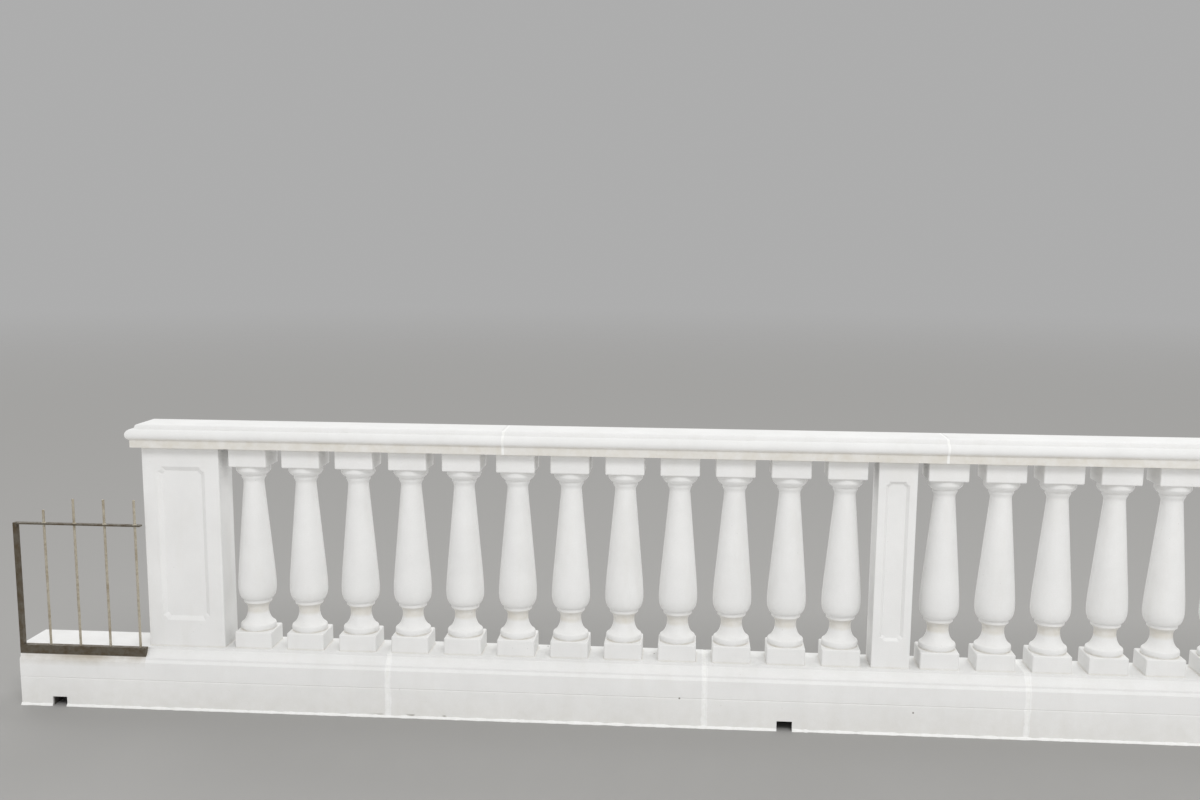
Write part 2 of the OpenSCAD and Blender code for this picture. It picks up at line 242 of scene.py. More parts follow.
        # Silt and damp with painted shade inside the drain slots: from 2 mm behind the face, no
        # higher than a slot, and short of the ends, so that the end faces stay clean
        depth = add(tree, "Math", {0: along.outputs["Y"]}, operation="ABSOLUTE")
        inside = add(tree, "MapRange", {"Value": depth, "From Min": BASE_OUT - 12 * MM,
                                        "From Max": BASE_OUT - 2 * MM, "To Min": 0.92,
                                        "To Max": 0.0})
        below = add(tree, "Math", {0: along.outputs["Z"], 1: SLOT_H + 1 * MM},
                    operation="LESS_THAN")
        across = add(tree, "Math", {0: along.outputs["X"]}, operation="ABSOLUTE")
        short_of_end = add(tree, "Math", {0: across, 1: BASE_END - 5 * MM}, operation="LESS_THAN")
        silt_and_shade = add(tree, "Math", {0: inside, 1: below}, operation="MULTIPLY")
        silt_and_shade = add(tree, "Math", {0: silt_and_shade, 1: short_of_end}, operation="MULTIPLY")
        colour = add(tree, "Mix", {"Factor": silt_and_shade, "A": colour, "B": linear("332F28")},
                     data_type="RGBA")

        # Rusty water run down the moulding below the steel rail, together with a painted shadow of
        # the rail
        below_rail = add(tree, "Math", {0: along.outputs["X"], 1: STEEL_END}, operation="LESS_THAN")
        in_front = add(tree, "Math", {0: along.outputs["Y"], 1: -FLAT_OUT}, operation="LESS_THAN")
        run_down = add(tree, "MapRange", {"Value": along.outputs["Z"],
                                          "From Min": BASE_TOP - RUST_AND_SHADOW_TO,
                                          "From Max": BASE_TOP - RUST_AND_SHADOW_FROM, "To Max": 0.65})
        # rusty holds the rust run and the rail's painted shadow
        rusty = add(tree, "Math", {0: below_rail, 1: in_front}, operation="MULTIPLY")
        rusty = add(tree, "Math", {0: rusty, 1: run_down}, operation="MULTIPLY")
        rusty = add(tree, "Math", {0: rusty, 1: cloudy}, operation="MULTIPLY")
        colour = add(tree, "Mix", {"Factor": rusty, "A": colour, "B": linear("A3957B")},
                     data_type="RGBA")

        # Mortar rubbed over the edges of the stones, by the distance to the nearest joint, which is
        # never as far off as the run is long
        nearest = BASE_END - BASE_START
        for joint in BASE_JOINTS:
            away = add(tree, "Math", {0: along.outputs["X"], 1: joint}, operation="SUBTRACT")
            away = add(tree, "Math", {0: away}, operation="ABSOLUTE")
            nearest = add(tree, "Math", {0: away, 1: nearest}, operation="MINIMUM")
        ragged = add(tree, "Math", {0: lumps, 1: 14 * MM, 2: nearest}, operation="MULTIPLY_ADD")
        smear = add(tree, "MapRange", {"Value": ragged, "From Min": 14 * MM, "From Max": 18 * MM,
                                       "To Min": 0.8, "To Max": 0.0})
        colour = add(tree, "Mix", {"Factor": smear, "A": colour, "B": linear("F1F1F0")},
                     data_type="RGBA")

    rough = add(tree, "MapRange", {"Value": sand, "From Min": 0.2, "From Max": 0.8, "To Min": 0.62,
                                   "To Max": 0.8})
    relief = add(tree, "Math", {0: pores, 1: -3.0, 2: sand.outputs["Fac"]},
                 operation="MULTIPLY_ADD")
    bump = add(tree, "Bump", {"Height": relief, "Strength": 0.25, "Distance": 0.3 * MM})
    shader = add(tree, "BsdfPrincipled", {"Base Color": colour, "Roughness": rough, "Normal": bump,
                                          "Specular IOR Level": 0.35})
    add(tree, "OutputMaterial", {"Surface": shader})
    return made


def pointing_mortar():
    """White pointing mortar, rubbed over with a wet sponge: brighter and sandier than the stone."""
    made, tree, where = new_material("white_pointing_mortar")
    lumps = add(tree, "TexNoise", {"Vector": where, "Scale": 1 / (12 * MM), "Detail": 3.0,
                                   "Roughness": 0.6})
    lumpy = add(tree, "MapRange", {"Value": lumps, "From Min": 0.3, "From Max": 0.7})
    colour = add(tree, "Mix", {"Factor": lumpy, "A": linear("F2F2F1"), "B": linear("EAEAE7")},
                 data_type="RGBA")
    # Sand grains of 1 mm drawn at 1.5 mm so that they show
    sand = add(tree, "TexNoise", {"Vector": where, "Scale": 1 / (1.5 * MM), "Roughness": 0.7})
    bump = add(tree, "Bump", {"Height": sand, "Strength": 0.5, "Distance": 0.4 * MM})
    shader = add(tree, "BsdfPrincipled", {"Base Color": colour, "Roughness": 0.85, "Normal": bump,
                                          "Specular IOR Level": 0.3})
    add(tree, "OutputMaterial", {"Surface": shader})
    return made


def steel_bar(name, clean, rusty):
    """Bare steel left outdoors: the clean colour of its skin, dulled in patches by a thin rust
    bloom and specked with rust."""
    made, tree, where = new_material(name)
    patches = add(tree, "TexNoise", {"Vector": where, "Scale": 1 / (25 * MM), "Detail": 4.0,
                                     "Roughness": 0.65})
    bloom = add(tree, "MapRange", {"Value": patches, "From Min": 0.42, "From Max": 0.66})
    colour = add(tree, "Mix", {"Factor": bloom, "A": linear(clean), "B": linear(rusty)},
                 data_type="RGBA")
    # Rust specks of 1 to 2 mm
    specks = add(tree, "TexNoise", {"Vector": where, "Scale": 1 / (2 * MM), "Roughness": 0.6})
    speckle = add(tree, "MapRange", {"Value": specks, "From Min": 0.45, "From Max": 0.7,
                                     "To Max": 0.4})
    colour = add(tree, "Mix", {"Factor": speckle, "A": colour, "B": linear("4E4038")},
                 data_type="RGBA")
    rough = add(tree, "MapRange", {"Value": patches, "From Min": 0.3, "From Max": 0.7,
                                   "To Min": 0.42, "To Max": 0.7})
    bump = add(tree, "Bump", {"Height": specks, "Strength": 0.3, "Distance": 0.2 * MM})
    shader = add(tree, "BsdfPrincipled", {"Base Color": colour, "Roughness": rough, "Normal": bump,
                                          "Metallic": 0.5})
    add(tree, "OutputMaterial", {"Surface": shader})
    return made


# Sheltered heights, given dirt and painted shade: the rail's band with the tops of the caps, and
# the flare under the bellies
RAIL_BAND = ((RAIL_FOOT + NOSE_Z) / 2 - 8 * MM, (NOSE_Z - RAIL_FOOT) / 2 - 4 * MM)
UNDER_BELLY = (BASE_TOP + 127 * MM, 16 * MM)
STONE = cast_stone("white_cast_stone", [RAIL_BAND])
TURNED_STONE = cast_stone("white_cast_stone_turned", [RAIL_BAND, UNDER_BELLY])
BASE_STONE = cast_stone("white_cast_stone_on_ground", at_foot=True)
MORTAR = pointing_mortar()
# Hot-rolled flats keep their dark mill scale, and drawn rods are brighter; painted shade also
# darkens the flats, and a painted sheen brightens the rods
FLAT_STEEL = steel_bar("hot_rolled_flat_steel_painted_shade", "6E685C", "5E523F")
ROD_STEEL = steel_bar("drawn_steel_rod_painted_sheen", "CCC5B3", "AEA38D")


# Helpers for shapes

def curve(a, b, rise, steps=8):
    """Points on a shallow curve from a to b that rises to the left of the way."""
    a, b = Vector(a), Vector(b)
    way = b - a
    side = Vector((-way.y, way.x)).normalized()
    shares = [i / steps for i in range(steps + 1)]
    return [a + way * t + side * 4 * rise * t * (1 - t) for t in shares]


def bend(a, b, c, steps=8):
    """Points on a curve from a to c that leaves and arrives in the direction of b."""
    a, b, c = Vector(a), Vector(b), Vector(c)
    shares = [i / steps for i in range(steps + 1)]
    return [a * (1 - t) ** 2 + b * 2 * t * (1 - t) + c * t * t for t in shares]


def oval(centre, a, b, start, end, steps):
    """Points on an ellipse about centre, from one angle in degrees to another."""
    turns = (math.radians(start + (end - start) * i / steps) for i in range(steps + 1))
    return [Vector((centre[0] + a * math.cos(w), centre[1] + b * math.sin(w))) for w in turns]


def soften(bm):
    """Rounds the edges of a moulded stone."""
    edges = [e for e in bm.edges
             if len(e.link_faces) == 2 and e.calc_face_angle() > MOULDING_SHARP]
    bmesh.ops.bevel(bm, geom=edges, offset=ARRIS, offset_type="OFFSET", segments=2, profile=0.5,
                    affect="EDGES", material=-1, clamp_overlap=True)


def drawn(bm, outline, places):
    """Draws a closed outline through places, and caps its ends. Each place is a function that
    turns a point of the outline into a point in space."""
    point = bm.verts.layers.int.new("point")
    ring = [bm.verts.new(places[0](p)) for p in outline]
    for i, vert in enumerate(ring):
        vert[point] = i
    edges = list(bm.faces.new(ring).edges)
    for place in places[1:]:
        grown = bmesh.ops.extrude_edge_only(bm, edges=edges)["geom"]
        edges = [g for g in grown if isinstance(g, bmesh.types.BMEdge)]
        for vert in (g for g in grown if isinstance(g, bmesh.types.BMVert)):
            vert.co = place(outline[vert[point]])
    bmesh.ops.edgeloop_fill(bm, edges=edges)
    bm.verts.layers.int.remove(point)


def finish_piece(name, bm, material, nodes, sharp=SHARP):
    """Makes the bmesh a piece of the object that stands for the CAD nodes."""
    bmesh.ops.recalc_face_normals(bm, faces=bm.faces)
    mesh = bpy.data.meshes.new(name)
    bm.to_mesh(mesh)
    bm.free()
    mesh.shade_smooth()
    mesh.set_sharp_from_angle(angle=sharp)
    mesh.materials.append(material)
    piece = bpy.data.objects.new(name, mesh)
    bpy.context.scene.collection.objects.link(piece)
    even = piece.modifiers.new("even_normals", "WEIGHTED_NORMAL")
    even.keep_sharp = True
    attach(piece, "root")
    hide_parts(*nodes)
    return piece


def moulded(bm, side, start, end, start_returned=False, end_returned=False):
    """A stone whose moulded side runs along front and back. side holds (out, height) from the
    foot up. At a returned end the moulding goes on round the corner, and start or end is
    where its middle line would end; a plain end is cut square."""
    corners = [(False, False), (True, False), (True, True), (False, True)]

    def level(out, height):
        left, right = start - out * start_returned, end + out * end_returned
        return lambda corner: (right if corner[0] else left, out if corner[1] else -out, height)

    drawn(bm, corners, [level(*p) for p in side])


# Base course: the scored line's height above the foot, and the mouldings as depths below the
# flat top and distances from the middle line
SCORE_Z, SCORE_DEPTH = 95 * MM, 2 * MM
SPLAY_LOW, SPLAY_HIGH = 46 * MM, 38 * MM
HOLLOW_LOW, HOLLOW_OUT = 31 * MM, 97 * MM
HOLLOW_HIGH, HOLLOW_IN = 8 * MM, 77 * MM
HOLLOW_RISE = 3 * MM
BASE_SIDE = [Vector(p) for p in (
    (BASE_OUT, 0),
    (BASE_OUT, SCORE_Z - SCORE_DEPTH),
    (BASE_OUT - SCORE_DEPTH, SCORE_Z),
    (BASE_OUT, SCORE_Z + SCORE_DEPTH),
    (BASE_OUT, BASE_TOP - SPLAY_LOW),
    (HOLLOW_OUT, BASE_TOP - SPLAY_HIGH),
    *curve((HOLLOW_OUT, BASE_TOP - HOLLOW_LOW), (HOLLOW_IN, BASE_TOP - HOLLOW_HIGH),
           HOLLOW_RISE),
    (FLAT_OUT, BASE_TOP - HOLLOW_HIGH),
    (FLAT_OUT, BASE_TOP),
)]


def base_course():
    """The moulded base stones; the last one's mouldings go on round its end."""
    for i in range(1, BASE_BLOCKS + 1):
        low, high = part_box(f"base_block_{i}")
        last = i == BASE_BLOCKS
        bm = bmesh.new()
        moulded(bm, BASE_SIDE, low[0], BASE_END - BASE_OUT if last else high[0], end_returned=last)
        soften(bm)
        piece = finish_piece(f"moulded_base_stone_{i}", bm, BASE_STONE,
                             [f"base_block_{i}"])
        for x in SLOT_X:
            if low[0] < x < high[0]:
                cut_slot(piece, x)


def cut_slot(piece, x):
    """Cuts a drain slot through the foot of a base stone."""
    bm = bmesh.new()
    bmesh.ops.create_cube(bm, size=1.0)
    bmesh.ops.scale(bm, verts=bm.verts, vec=(SLOT_W, 4 * BASE_OUT, 2 * SLOT_H))
    bmesh.ops.translate(bm, verts=bm.verts, vec=(x + SLOT_W / 2, 0, 0))
    mesh = bpy.data.meshes.new("slot_cutter")
    bm.to_mesh(mesh)
    bm.free()
    cutter = bpy.data.objects.new("slot_cutter", mesh)
    bpy.context.scene.collection.objects.link(cutter)
    cut = piece.modifiers.new("slot", "BOOLEAN")
    cut.object = cutter
    cut.solver = "EXACT"
    piece.modifiers.move(len(piece.modifiers) - 1, 0)
    cut_piece = piece.evaluated_get(bpy.context.evaluated_depsgraph_get())
    cut_mesh = bpy.data.meshes.new_from_object(cut_piece)
    piece.modifiers.remove(cut)
    piece.data = cut_mesh
    bpy.data.objects.remove(cutter)


# Rail: radius of its nose, half depths of its band and of its flat top, rounding of the flat
# top's edge, and how much further out the step under it ends
NOSE_R = 18 * MM
BAND_OUT = 86 * MM
RAIL_FLAT = 73 * MM
RAIL_EDGE = 7 * MM
RAIL_STEP_OUT = 2 * MM
NOSE_IN = RAIL_OUT - NOSE_R
NOSE_END = math.degrees(math.acos((BAND_OUT - NOSE_IN) / NOSE_R))
RAIL_SIDE = [
    Vector((BAND_OUT, RAIL_FOOT)),
    *oval((NOSE_IN, NOSE_Z), NOSE_R, NOSE_R, -NOSE_END, 90, steps=16),
    Vector((RAIL_FLAT + RAIL_STEP_OUT, NOSE_Z + NOSE_R)),
    *oval((RAIL_FLAT - RAIL_EDGE, RAIL_TOP - RAIL_EDGE), RAIL_EDGE, RAIL_EDGE, 0, 90, steps=6),
]


def rail():
    """The rail stones; the mouldings go on round both ends of the run."""
    for i in range(1, RAIL_BLOCKS + 1):
        low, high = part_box(f"rail_block_{i}")
        first, last = i == 1, i == RAIL_BLOCKS
        bm = bmesh.new()
        moulded(bm, RAIL_SIDE, RAIL_START + RAIL_OUT if first else low[0],
                RAIL_END - RAIL_OUT if last else high[0], first, last)
        soften(bm)
        finish_piece(f"round_nosed_rail_{i}", bm, STONE, [f"rail_block_{i}"])


# Balusters: levels above their foot and radii, as turned for the mould
FOOT_W, FOOT_H = 120 * MM, 54 * MM
CAP_W, CAP_H = 122 * MM, 61 * MM
DISC_R, DISC_H = 57 * MM, 20 * MM
SCOTIA_LOW = (53.5 * MM, FOOT_H + DISC_H)
SCOTIA_FROM = 245
WAIST_R, WAIST_Z = 33.2 * MM, FOOT_H + 66 * MM
FLARE = (43 * MM, FOOT_H + 89 * MM)
FILLET_R, FILLET_Z = 45 * MM, FOOT_H + 101 * MM
BELLY_R, BELLY_Z = 61 * MM, FOOT_H + 141 * MM
SHOULDER = (54.7 * MM, 289 * MM)
CONE_TOP = (34.1 * MM, 520 * MM)
NECK_R, NECK_Z = 32.7 * MM, BALUSTER_H - 116 * MM
NECK_TOP = (38.6 * MM, BALUSTER_H - 99 * MM)
OVOLO_LOW, OVOLO_TOP = BALUSTER_H - 91.5 * MM, BALUSTER_H - 77 * MM
COLLAR_R = 55 * MM
# How far the turned part reaches into the blocks
SET_IN = 1 * MM
# The disc: how much narrower it is where it meets the block, inside the block and at DISC_LOW,
# the levels above the block where it fills out, is full and turns in, and what its curves aim at
DISC_DRAW, DISC_SUNK_DRAW, DISC_LACK = 2 * MM, 2.3 * MM, 0.5 * MM
DISC_LOW, DISC_LOW_AIM, DISC_FULL, DISC_TURN = 5 * MM, 7 * MM, 9 * MM, 11 * MM
DISC_TOP_AIM = 1 * MM
# Straight stretches above waist, belly and neck, and how far off each curve aims
STRAIGHT = 2 * MM
FLARE_AIM, BELLY_AIM, CONE_AIM, NECK_AIM = 8 * MM, 27 * MM, 3 * MM, 8 * MM
# Fillet, ovolo and collar: radii of the rounded edges and how far up their middles lie, the
# ledges beside them, and how far the ovolo stops short of the collar and swells
FILLET_EDGE, FILLET_EDGE_UP, FILLET_LEDGE = 1 * MM, 1.5 * MM, 0.4 * MM
OVOLO_LEDGE, OVOLO_SHORT, OVOLO_SWELL = 1 * MM, 0.5 * MM, 1.5 * MM
COLLAR_EDGE, COLLAR_EDGE_UP = 1.5 * MM, 2 * MM
# Steps of the full turn, and rounding of the square blocks
TURN_STEPS = 56
BLOCK_ARRIS = 4.5 * MM
# Most that a baluster is turned off square, in degrees
SET_TURN = 0.4


def turned_outline():
    """Half the section of the turned part, from the foot block up to the cap."""
    turn = math.radians(SCOTIA_FROM)
    scotia_a = (SCOTIA_LOW[0] - WAIST_R) / (1 + math.cos(turn))
    scotia_b = (SCOTIA_LOW[1] - WAIST_Z) / math.sin(turn)
    return [
        Vector((0, FOOT_H - SET_IN)),
        Vector((DISC_R - DISC_SUNK_DRAW, FOOT_H - SET_IN)),
        Vector((DISC_R - DISC_DRAW, FOOT_H)),
        *bend((DISC_R - DISC_LACK, FOOT_H + DISC_LOW), (DISC_R, FOOT_H + DISC_LOW_AIM),
              (DISC_R, FOOT_H + DISC_FULL), steps=4),
        *bend((DISC_R, FOOT_H + DISC_TURN), (DISC_R, SCOTIA_LOW[1] - DISC_TOP_AIM), SCOTIA_LOW,
              steps=6),
        *oval((WAIST_R + scotia_a, WAIST_Z), scotia_a, scotia_b, SCOTIA_FROM, 180, steps=14),
        *bend((WAIST_R, WAIST_Z + STRAIGHT), (WAIST_R, FLARE[1] - FLARE_AIM), FLARE),
        *oval((FILLET_R - FILLET_EDGE, FLARE[1] + FILLET_EDGE_UP), FILLET_EDGE, FILLET_EDGE,
              -60, 0, steps=3),
        *oval((FILLET_R + FILLET_LEDGE, BELLY_Z), BELLY_R - FILLET_R - FILLET_LEDGE,
              BELLY_Z - FILLET_Z, -90, 0, steps=14),
        *bend((BELLY_R, BELLY_Z + STRAIGHT), (BELLY_R, BELLY_Z + BELLY_AIM), SHOULDER, steps=10),
        *bend(CONE_TOP, (NECK_R, NECK_Z - CONE_AIM), (NECK_R, NECK_Z), steps=6),
        *bend((NECK_R, NECK_Z + STRAIGHT), (NECK_R, NECK_Z + NECK_AIM), NECK_TOP, steps=6),
        Vector((NECK_TOP[0], OVOLO_LOW)),
        *curve((NECK_TOP[0] + OVOLO_LEDGE, OVOLO_LOW), (COLLAR_R - OVOLO_SHORT, OVOLO_TOP),
               -OVOLO_SWELL, steps=6),
        *oval((COLLAR_R - COLLAR_EDGE, OVOLO_TOP + COLLAR_EDGE_UP), COLLAR_EDGE, COLLAR_EDGE,
              -60, 0, steps=3),
        Vector((COLLAR_R, BALUSTER_H - CAP_H + SET_IN)),
        Vector((0, BALUSTER_H - CAP_H + SET_IN)),
    ]


def add_box(bm, low, high, round_by, segments=2, bedded=()):
    """A block between two corners, with its edges rounded, apart from those at the heights in
    bedded, where it stands on or carries another stone."""
    low, high = Vector(low), Vector(high)
    made = bmesh.ops.create_cube(bm, size=1.0)["verts"]
    bmesh.ops.scale(bm, verts=made, vec=high - low)
    bmesh.ops.translate(bm, verts=made, vec=(low + high) / 2)
    edges = {e for v in made for e in v.link_edges
             if not any(all(abs(end.co.z - z) < MERGE for end in e.verts) for z in bedded)}
    bmesh.ops.bevel(bm, geom=list(edges), offset=round_by, offset_type="OFFSET", segments=segments,
                    profile=0.5, affect="EDGES", material=-1)


def add_square_block(bm, width, low, high, bedded):
    """The foot block or the cap of a baluster, with worn edges."""
    add_box(bm, (-width / 2, -width / 2, low), (width / 2, width / 2, high), BLOCK_ARRIS,
            segments=3, bedded=[bedded])


def balusters():
    """The turned balusters, each spun from one outline and set on its square block."""
    chance = random.Random(11)
    outline = turned_outline()
    for i in range(1, BALUSTERS + 1):
        low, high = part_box(f"baluster_{i:02d}")
        bm = bmesh.new()
        verts = [bm.verts.new((p.x, 0, p.y)) for p in outline]
        edges = [bm.edges.new(pair) for pair in zip(verts, verts[1:])]
        bmesh.ops.spin(bm, geom=verts + edges, cent=(0, 0, 0), axis=(0, 0, 1), dvec=(0, 0, 0),
                       angle=math.tau, steps=TURN_STEPS, use_merge=True)
        bmesh.ops.remove_doubles(bm, verts=bm.verts, dist=MERGE)
        add_square_block(bm, FOOT_W, 0, FOOT_H, 0)
        add_square_block(bm, CAP_W, BALUSTER_H - CAP_H, BALUSTER_H, BALUSTER_H)
        # Set by hand, so none is quite square to the run
        turn = math.radians(chance.uniform(-SET_TURN, SET_TURN))
        bmesh.ops.rotate(bm, verts=bm.verts, cent=(0, 0, 0), matrix=Matrix.Rotation(turn, 3, "Z"))
        bmesh.ops.translate(bm, verts=bm.verts, vec=((low[0] + high[0]) / 2, 0, BASE_TOP))
        finish_piece(f"turned_baluster_{i:02d}", bm, TURNED_STONE,
                     [f"baluster_{i:02d}"])


# Piers: how far a panel stays from the foot and the top, and how deep it is sunk
PANEL_LOW, PANEL_HIGH = 87 * MM, 63 * MM
PANEL_DEPTH = 9 * MM
PANEL_SHARP = math.radians(15)
PIER_ARRIS = 2.5 * MM
# How squarely a face has to look to front or back, and the points put in on a hollow corner
FACING = 0.99
HOLLOW_POINTS = 4
# For a panel: the face beside it, the width of its bevel and the radius of its hollow corners
END_PANEL = (47 * MM, 14 * MM, 15 * MM)
MIDDLE_PANEL = (23 * MM, 9 * MM, 11 * MM)


def pier(node, name, side, border, corner):
    """A pier with a sunk panel front and back: side is the face beside the panel, border the
    width of its bevel, and corner the radius of the hollow that cuts its corners off."""
    low, high = (Vector(p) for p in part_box(node))
    middle = (low.z + high.z) / 2
    bm = bmesh.new()
    add_box(bm, low, high, PIER_ARRIS, bedded=[low.z, high.z])
    for facing in (-1, 1):
        bm.normal_update()
        face = next(f for f in bm.faces if f.normal.y * facing > FACING)
        bmesh.ops.inset_individual(bm, faces=[face], thickness=side - PIER_ARRIS,
                                   use_even_offset=True)
        for vert in face.verts:
            vert.co.z = low.z + PANEL_LOW if vert.co.z < middle else high.z - PANEL_HIGH
        corners = [vert.co.copy() for vert in face.verts]
        bmesh.ops.bevel(bm, geom=list(face.verts), offset=corner, offset_type="OFFSET", segments=1,
                        profile=0.5, affect="VERTICES", material=-1)
        bm.normal_update()
        panel = max((f for f in bm.faces if f.normal.y * facing > FACING and len(f.verts) == 8),
                    key=lambda f: f.calc_area())
        # Each corner is cut off, and the cut is bent in to a hollow quarter round
        for centre in corners:
            chord = min(panel.edges, key=lambda e: sum((v.co - centre).length for v in e.verts))
            radius = (chord.verts[0].co - centre).length
            parts = bmesh.ops.subdivide_edges(bm, edges=[chord], cuts=HOLLOW_POINTS)["geom_inner"]
            for vert in (g for g in parts if isinstance(g, bmesh.types.BMVert)):
                vert.co = centre + (vert.co - centre).normalized() * radius
        outline = [vert.co.copy() for vert in panel.verts]
        bmesh.ops.inset_individual(bm, faces=[panel], thickness=border, depth=-PANEL_DEPTH,
                                   use_even_offset=True)
        # The border keeps its width round the hollows
        reach = corner + border
        least = math.asin(border / reach)
        for place, vert in zip(outline, panel.verts):
            centre = min(corners, key=lambda c: (c - place).length)
            turn = math.atan2(abs(place.z - centre.z), abs(place.x - centre.x))
            turn = least + turn * (1 - 4 * least / math.pi)
            across = math.copysign(reach * math.cos(turn), (low.x + high.x) / 2 - centre.x)
            upward = math.copysign(reach * math.sin(turn), middle - centre.z)
            vert.co.x = centre.x + across
            vert.co.z = centre.z + upward
    finish_piece(name, bm, STONE, [node], PANEL_SHARP)


def piers():
    """A wide pier at each end of the run, and a narrow one between the bays."""
    pier("end_pier_left", "panelled_end_pier_left", *END_PANEL)
    pier("mid_pier", "panelled_middle_pier", *MIDDLE_PANEL)
    pier("end_pier_right", "panelled_end_pier_right", *END_PANEL)


# How far the mortar of a joint lies below the faces of the stones
JOINT_SUNK = 0.6 * MM


def pointed_joints(name, node, side, stones, count):
    """Mortar between the stones of a row, a little below their faces."""
    sunk = [Vector((p.x - JOINT_SUNK, p.y)) for p in side]
    sunk[-1].y -= JOINT_SUNK
    bm = bmesh.new()
    for i in range(1, count):
        start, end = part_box(f"{stones}_{i}")[1][0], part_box(f"{stones}_{i + 1}")[0][0]
        moulded(bm, sunk, start, end)
    finish_piece(name, bm, MORTAR, [node])


# The bead along the foot: its section as shares of its depth and height, the distance between
# sections, the size of its lumps, then its mean, spread and least as shares of its full size,
# and how much taller than deep it stays
BEAD_SECTION = [(-0.4, 0.0), (1.0, 0.0), (0.93, 0.3), (0.62, 0.62), (0.25, 0.88), (-0.4, 1.0)]
BEAD_STEP = 11 * MM
BEAD_LUMP = 34 * MM
BEAD_MEAN, BEAD_SPREAD, BEAD_THIN = 0.72, 0.45, 0.4
BEAD_TALLER = 0.12
BEAD_TURNS = 4
BEAD_SHARP = math.radians(60)


def foot_bead():
    """The mortar bead along the foot, pressed on by hand and open at the drain slots."""
    bead_d = BEAD_OUT - BASE_OUT

    def pressed(foot, out):
        """A place for the section at foot, where out points away from the stone."""
        foot, out = Vector(foot), Vector(out)
        # Lumps, and half as strong ones a third as long
        lump = noise.noise(foot / BEAD_LUMP) + 0.5 * noise.noise(foot / (BEAD_LUMP / 3))
        size = min(1.0, max(BEAD_THIN, BEAD_MEAN + BEAD_SPREAD * lump))
        height = min(1.0, size + BEAD_TALLER)
        return lambda p: foot + out * bead_d * size * p[0] + Vector((0, 0, BEAD_H * height * p[1]))

    def stretch(start, end, side):
        """Places along the front or the back, from start to end."""
        count = max(2, round(abs(end - start) / BEAD_STEP))
        return [pressed((start + (end - start) * i / count, side * BASE_OUT, 0), (0, side, 0))
                for i in range(count + 1)]

    gaps = [(x, x + SLOT_W) for x in SLOT_X]
    starts = [BASE_START] + [gap[1] for gap in gaps]
    ends = [gap[0] for gap in gaps]
    bm = bmesh.new()
    for side in (-1, 1):
        for start, end in zip(starts, ends):
            drawn(bm, BEAD_SECTION, stretch(start, end, side))
    # The last stretch runs along the front, round the end of the base and along the back
    turns = [math.radians(90 * (i + 1) / (BEAD_TURNS + 1)) for i in range(BEAD_TURNS)]
    front = stretch(starts[-1], BASE_END, -1)
    front_turn = [pressed((BASE_END, -BASE_OUT, 0), (math.sin(w), -math.cos(w), 0)) for w in turns]
    count = round(2 * BASE_OUT / BEAD_STEP)
    across = [pressed((BASE_END, -BASE_OUT + 2 * BASE_OUT * i / count, 0), (1, 0, 0))
              for i in range(count + 1)]
    back_turn = [pressed((BASE_END, BASE_OUT, 0), (math.cos(w), math.sin(w), 0)) for w in turns]
    back = stretch(BASE_END, starts[-1], 1)
    drawn(bm, BEAD_SECTION, front + front_turn + across + back_turn + back)
    finish_piece("pressed_foot_bead", bm, MORTAR, ["foot_bead"], sharp=BEAD_SHARP)


# Steel grille: the first rod is shorter than the others
BAR_ARRIS = 0.8 * MM
ROD_R = 4 * MM
ROD_SIDES = 20
RODS = 4
ROD_STEP = 100 * MM
FIRST_ROD = 447 * MM
# Welds: their size, their fit round a rod, how lumpy they are and lumps in a metre
WELD_R = 3 * MM
WELD_FIT = 0.2 * MM
WELD_SIDES = 14
WELD_LUMP, WELD_LUMPS = 0.2, 300


def add_rod(bm, place, length):
    """A round rod that stands on place, with its top edge broken."""
    made = bmesh.ops.create_cone(bm, cap_ends=True, segments=ROD_SIDES, radius1=ROD_R,
                                 radius2=ROD_R, depth=length)["verts"]
    bmesh.ops.translate(bm, verts=made, vec=Vector(place) + Vector((0, 0, length / 2)))
    middle = place[2] + length / 2
    rim = {e for v in made for e in v.link_edges if all(end.co.z > middle for end in e.verts)}
    bmesh.ops.bevel(bm, geom=list(rim), offset=BAR_ARRIS, offset_type="OFFSET", segments=2,
                    profile=0.5, affect="EDGES", material=-1)


def add_weld(bm, place, upward):
    """A lumpy fillet weld round a rod, where it leaves the upper or lower face of a bar."""
    made = bmesh.ops.create_cone(bm, cap_ends=True, segments=WELD_SIDES, radius1=ROD_R + WELD_R,
                                 radius2=ROD_R + WELD_FIT, depth=WELD_R)["verts"]
    place = Vector(place)
    for vert in made:
        lump = 1 + WELD_LUMP * noise.noise((vert.co + place) * WELD_LUMPS)
        height = (vert.co.z + WELD_R / 2) * upward
        vert.co = Vector((vert.co.x * lump, vert.co.y * lump, height)) + place


def steel():
    """Post, top bar and rods, with broken edges and welds. The bottom rail keeps its CAD shape
    and only gets its material."""
    for node, name in (("infill_post", "flat_steel_post"),
                       ("infill_top_bar", "flat_steel_top_bar")):
        bm = bmesh.new()
        add_box(bm, *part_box(node), BAR_ARRIS)
        finish_piece(name, bm, FLAT_STEEL, [node])

    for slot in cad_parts["infill_bottom_rail"].material_slots:
        slot.material = FLAT_STEEL

    low, high = (Vector(p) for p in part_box("infill_rods"))
    bar_low, bar_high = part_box("infill_top_bar")
    bm = bmesh.new()
    for i in range(RODS):
        place = (BASE_START + (i + 1) * ROD_STEP, (low.y + high.y) / 2, low.z)
        add_rod(bm, place, FIRST_ROD if i == 0 else high.z - low.z)
        add_weld(bm, (place[0], place[1], bar_high[2]), 1)
        add_weld(bm, (place[0], place[1], bar_low[2]), -1)
    finish_piece("round_steel_rods", bm, ROD_STEEL, ["infill_rods"])


